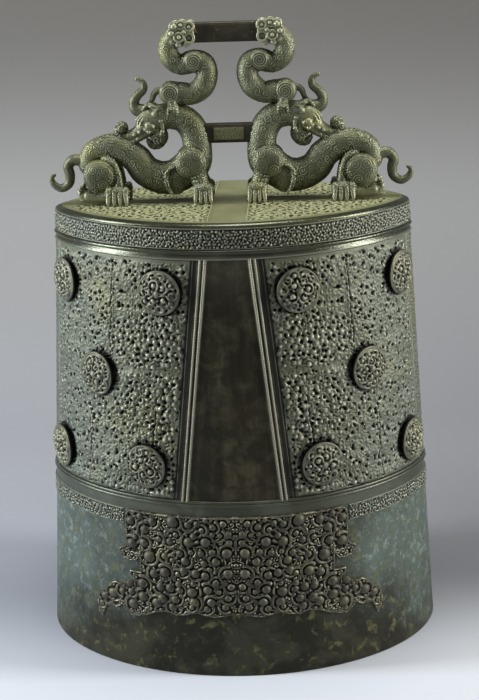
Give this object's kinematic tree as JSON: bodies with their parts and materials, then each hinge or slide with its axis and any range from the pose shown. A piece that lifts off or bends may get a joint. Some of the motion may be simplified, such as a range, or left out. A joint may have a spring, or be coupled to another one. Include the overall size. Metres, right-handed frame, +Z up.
{
  "type": "carillon bell",
  "caption": "Bronze bell of lens-shaped section with round bosses, a raised strike panel on each face and a dragon handle that carries a hanging bar.",
  "frame": {"origin": "centre of the bell's box, on the plane of the mouth", "axes": "+Z up to the handle, X along the long side of the mouth, front face towards -Y"},
  "size_m": [0.605, 0.462, 0.929],
  "materials": {
    "body_bronze": "green-grey patinated cast bronze",
    "panel_bronze": "dark patinated cast bronze",
    "boss_bronze": "grey-olive patinated cast bronze",
    "dragon_bronze": "grey-green patinated cast bronze, worn on the high places",
    "bar_bronze": "dark brown bronze with reddish oxide"
  },
  "bodies": {
    "root": {"bell_shell": "body_bronze", "strike_panel_front": "panel_bronze", "boss_front_left_1": "boss_bronze", "boss_front_left_2": "boss_bronze", "boss_front_left_3": "boss_bronze", "boss_front_left_4": "boss_bronze", "boss_front_left_5": "boss_bronze", "boss_front_right_1": "boss_bronze", "boss_front_right_2": "boss_bronze", "boss_front_right_3": "boss_bronze", "boss_front_right_4": "boss_bronze", "boss_front_right_5": "boss_bronze", "strike_panel_back": "panel_bronze", "boss_back_left_1": "boss_bronze", "boss_back_left_2": "boss_bronze", "boss_back_left_3": "boss_bronze", "boss_back_left_4": "boss_bronze", "boss_back_left_5": "boss_bronze", "boss_back_right_1": "boss_bronze", "boss_back_right_2": "boss_bronze", "boss_back_right_3": "boss_bronze", "boss_back_right_4": "boss_bronze", "boss_back_right_5": "boss_bronze", "large_dragon_left": "dragon_bronze", "large_dragon_left_tail": "dragon_bronze", "large_dragon_left_horn": "dragon_bronze", "small_dragon_left": "dragon_bronze", "small_dragon_left_tail": "dragon_bronze", "large_dragon_right": "dragon_bronze", "large_dragon_right_tail": "dragon_bronze", "large_dragon_right_horn": "dragon_bronze", "small_dragon_right": "dragon_bronze", "small_dragon_right_tail": "dragon_bronze", "hanging_bar": "bar_bronze", "lower_bar": "bar_bronze"}
  },
  "joints": []
}
